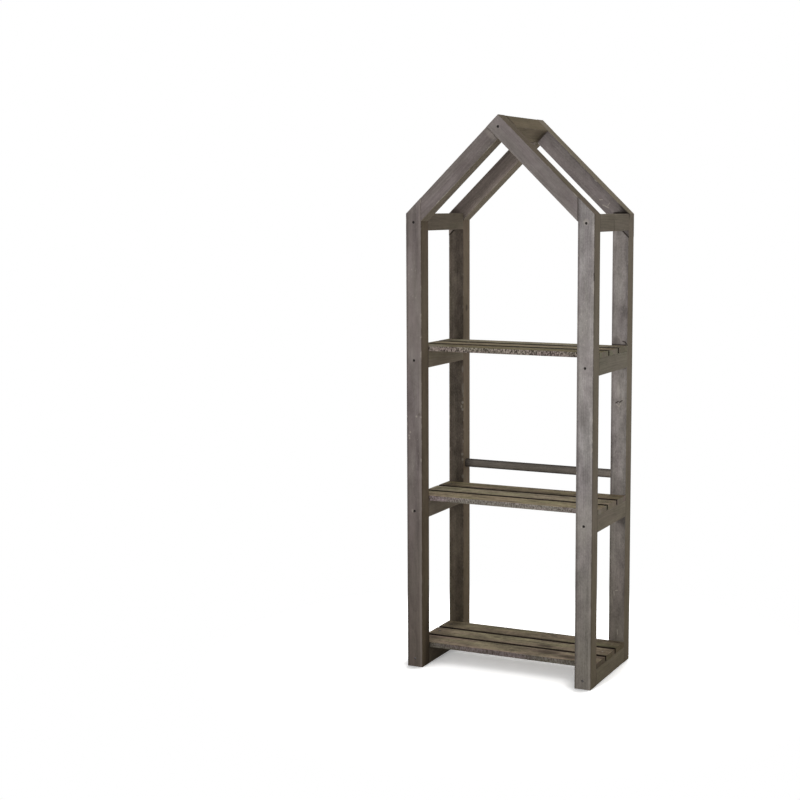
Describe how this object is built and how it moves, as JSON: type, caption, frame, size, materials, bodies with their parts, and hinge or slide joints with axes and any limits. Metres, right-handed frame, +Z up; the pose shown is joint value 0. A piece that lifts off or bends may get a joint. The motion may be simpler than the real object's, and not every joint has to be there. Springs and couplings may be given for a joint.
{
  "type": "house-shaped slatted shelf unit",
  "caption": "Tall narrow open shelf unit of stained square battens, with a pitched house-shaped top, slatted shelves and a hanging rod.",
  "frame": {"origin": "on the floor, under the middle of the unit's width and depth", "axes": "+Z up, +X to the right as seen from the front, +Y from the front to the rear"},
  "size_m": [0.45, 0.266, 1.26],
  "materials": {
    "frame_timber": "dark grey-brown stain, matt, worn at the edges",
    "slat_timber": "olive-brown stain, matt, rough-sawn front edge",
    "rod_timber": "dark stain, matt, turned",
    "screw_steel": "blackened steel, sunk under the surface",
    "nail_steel": "dull steel, flush with the slat",
    "dowel_timber": "plain beech, hidden"
  },
  "bodies": {
    "root": {"front_left_post": "frame_timber", "front_left_rafter": "frame_timber", "front_right_post": "frame_timber", "front_right_rafter": "frame_timber", "rear_left_post": "frame_timber", "rear_left_rafter": "frame_timber", "rear_right_post": "frame_timber", "rear_right_rafter": "frame_timber", "ridge_batten": "frame_timber", "left_eave_rail": "frame_timber", "upper_left_bearer": "frame_timber", "middle_left_bearer": "frame_timber", "left_base_rail": "frame_timber", "right_eave_rail": "frame_timber", "upper_right_bearer": "frame_timber", "middle_right_bearer": "frame_timber", "right_base_rail": "frame_timber", "bottom_front_slat": "slat_timber", "bottom_middle_slat": "slat_timber", "bottom_rear_slat": "slat_timber", "middle_front_slat": "slat_timber", "middle_middle_slat": "slat_timber", "middle_rear_slat": "slat_timber", "upper_front_slat": "slat_timber", "upper_middle_slat": "slat_timber", "upper_rear_slat": "slat_timber", "hanging_rod": "rod_timber", "front_frame_screws": "screw_steel", "rear_frame_screws": "screw_steel", "bottom_slat_nails": "nail_steel", "middle_slat_nails": "nail_steel", "upper_slat_nails": "nail_steel", "front_frame_dowels": "dowel_timber", "rear_frame_dowels": "dowel_timber"}
  },
  "joints": []
}
